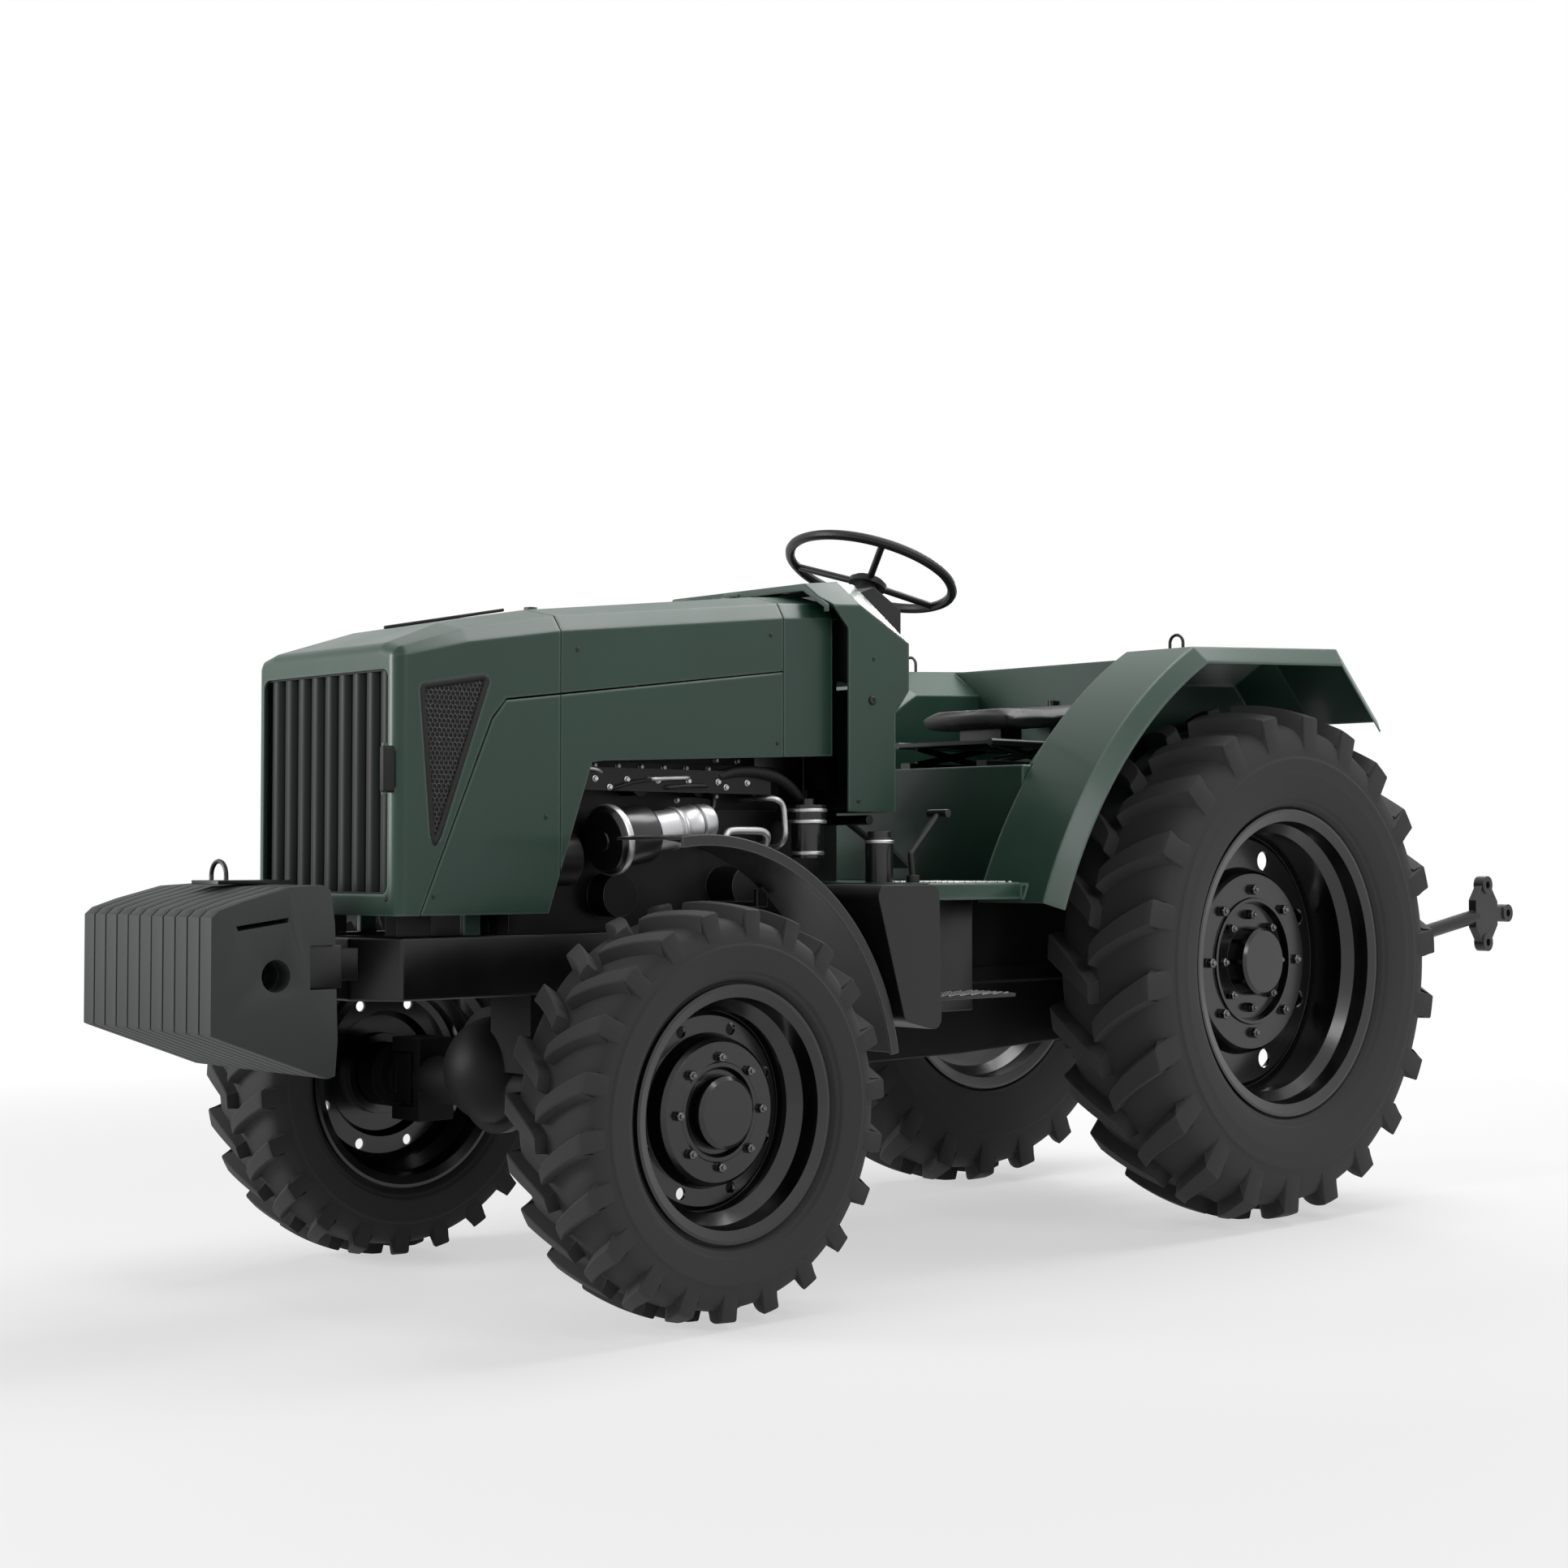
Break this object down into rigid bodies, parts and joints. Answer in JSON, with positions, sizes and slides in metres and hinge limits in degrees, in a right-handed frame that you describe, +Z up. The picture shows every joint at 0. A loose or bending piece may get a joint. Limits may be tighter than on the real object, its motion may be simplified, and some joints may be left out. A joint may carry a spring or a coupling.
{
  "type": "farm tractor",
  "caption": "Orchard-size four-wheel-drive farm tractor with front ballast, opening hood, steered front wheels and rear lift linkage.",
  "frame": {"origin": "centre of the footprint, on the ground", "axes": "+Z up, -Y to the front of the tractor, +X to its left"},
  "size_m": [1.34, 4.2509, 1.6856],
  "materials": {
    "body_paint": "satin dark green paint",
    "chassis_paint": "satin black paint",
    "wheel_paint": "gloss black paint",
    "grille_paint": "dark metallic satin",
    "cast_charcoal": "charcoal painted casting",
    "textured_plastic": "grained black",
    "engine_metal": "dark casting",
    "bright_steel": "machined",
    "filter_metal": "gloss dark grey",
    "wheel_grip": "satin black",
    "seat_vinyl": "black vinyl",
    "tyre_rubber": "matt rubber"
  },
  "bodies": {
    "chassis": {"air_cleaner": "filter_metal", "ballast_weights": "cast_charcoal", "battery_box": "textured_plastic", "cowl": "body_paint", "cylinder_head": "engine_metal", "drawbar": "chassis_paint", "engine_block": "engine_metal", "fender_eyes": "chassis_paint", "fender_left": "body_paint", "fender_right": "body_paint", "foot_controls": "chassis_paint", "front_axle": "chassis_paint", "front_fenders": "chassis_paint", "front_frame": "chassis_paint", "fuel_filter": "filter_metal", "fuel_tank": "textured_plastic", "hood_rear_band": "body_paint", "instrument_panel": "textured_plastic", "lift_housing": "chassis_paint", "pedestal": "chassis_paint", "platform": "body_paint", "pto_shaft": "bright_steel", "radiator": "chassis_paint", "rear_axle": "chassis_paint", "rear_panel": "body_paint", "reservoir": "filter_metal", "seat_cushion": "seat_vinyl", "seat_deck": "body_paint", "seat_frame": "chassis_paint", "side_panel_left": "body_paint", "side_panel_right": "body_paint", "steering_column": "wheel_grip", "steps": "chassis_paint", "transmission": "chassis_paint", "weight_carrier": "chassis_paint"},
    "hood": {"hood_lid": "body_paint", "grille": "grille_paint", "hood_mesh": "chassis_paint"},
    "fan": {"cooling_fan": "chassis_paint"},
    "knuckle_left": {"knuckle_left": "chassis_paint"},
    "knuckle_right": {"knuckle_right": "chassis_paint"},
    "wheel_front_left": {"rim_front_left": "wheel_paint", "tyre_front_left": "tyre_rubber"},
    "wheel_front_right": {"rim_front_right": "wheel_paint", "tyre_front_right": "tyre_rubber"},
    "wheel_rear_left": {"rim_rear_left": "wheel_paint", "tyre_rear_left": "tyre_rubber"},
    "wheel_rear_right": {"rim_rear_right": "wheel_paint", "tyre_rear_right": "tyre_rubber"},
    "steering_wheel": {"steering_wheel": "wheel_grip"},
    "tie_rod": {"tie_rod": "chassis_paint"},
    "lift_arms": {"lift_arms": "chassis_paint"},
    "lower_link_left": {"lower_link_left": "chassis_paint"},
    "lower_link_right": {"lower_link_right": "chassis_paint"},
    "lift_rod_left": {"lift_rod_left": "chassis_paint"},
    "lift_rod_right": {"lift_rod_right": "chassis_paint"}
  },
  "joints": [
    {"name": "front_left_spin", "type": "hinge", "parent": "knuckle_left", "child": "wheel_front_left", "pos_m": [0.55, -1.2225, 0.41], "axis": [1, 0, 0], "continuous": true},
    {"name": "front_right_spin", "type": "hinge", "parent": "knuckle_right", "child": "wheel_front_right", "pos_m": [-0.55, -1.2225, 0.41], "axis": [1, 0, 0], "continuous": true},
    {"name": "rear_left_spin", "type": "hinge", "parent": "chassis", "child": "wheel_rear_left", "pos_m": [0.5, 0.6645, 0.645], "axis": [1, 0, 0], "continuous": true},
    {"name": "rear_right_spin", "type": "hinge", "parent": "chassis", "child": "wheel_rear_right", "pos_m": [-0.5, 0.6645, 0.645], "axis": [1, 0, 0], "continuous": true},
    {"name": "steer_left", "type": "hinge", "parent": "chassis", "child": "knuckle_left", "pos_m": [0.436, -1.2225, 0.41], "axis": [0, 0, 1], "range_deg": [-35, 35]},
    {"name": "steer_right", "type": "hinge", "parent": "chassis", "child": "knuckle_right", "pos_m": [-0.436, -1.2225, 0.41], "axis": [0, 0, 1], "range_deg": [-35, 35]},
    {"name": "tie_rod_swing", "type": "hinge", "parent": "knuckle_left", "child": "tie_rod", "pos_m": [0.436, -1.0505, 0.38], "axis": [0, 0, 1], "range_deg": [-35, 35]},
    {"name": "steering_wheel_turn", "type": "hinge", "parent": "chassis", "child": "steering_wheel", "pos_m": [0, -0.1915, 1.601], "axis": [0, 0.3567, 0.9342], "range_deg": [-455, 455]},
    {"name": "hood_open", "type": "hinge", "parent": "chassis", "child": "hood", "pos_m": [0, -0.7245, 1.495], "axis": [-1, 0, 0], "range_deg": [0, 55]},
    {"name": "fan_spin", "type": "hinge", "parent": "chassis", "child": "fan", "pos_m": [0, -1.5105, 1.01], "axis": [0, 1, 0], "continuous": true},
    {"name": "linkage_lift", "type": "hinge", "parent": "chassis", "child": "lift_arms", "pos_m": [0, 0.7845, 0.985], "axis": [1, 0, 0], "range_deg": [-22, 7]},
    {"name": "link_left", "type": "hinge", "parent": "chassis", "child": "lower_link_left", "pos_m": [0.25, 0.7845, 0.52], "axis": [1, 0, 0], "range_deg": [-22, 7]},
    {"name": "link_right", "type": "hinge", "parent": "chassis", "child": "lower_link_right", "pos_m": [-0.25, 0.7845, 0.52], "axis": [1, 0, 0], "range_deg": [-22, 7]},
    {"name": "rod_left_swing", "type": "hinge", "parent": "lift_arms", "child": "lift_rod_left", "pos_m": [0.25, 1.1575, 1.05395], "axis": [1, 0, 0], "range_deg": [-7, 22]},
    {"name": "rod_right_swing", "type": "hinge", "parent": "lift_arms", "child": "lift_rod_right", "pos_m": [-0.25, 1.1575, 1.05395], "axis": [1, 0, 0], "range_deg": [-7, 22]}
  ],
  "couplings": [
    {"joint": "steer_right", "follows": "steer_left", "ratio": 1},
    {"joint": "tie_rod_swing", "follows": "steer_left", "ratio": -1},
    {"joint": "steering_wheel_turn", "follows": "steer_left", "ratio": 13},
    {"joint": "link_left", "follows": "linkage_lift", "ratio": 1},
    {"joint": "link_right", "follows": "linkage_lift", "ratio": 1},
    {"joint": "rod_left_swing", "follows": "linkage_lift", "ratio": -1},
    {"joint": "rod_right_swing", "follows": "linkage_lift", "ratio": -1}
  ]
}
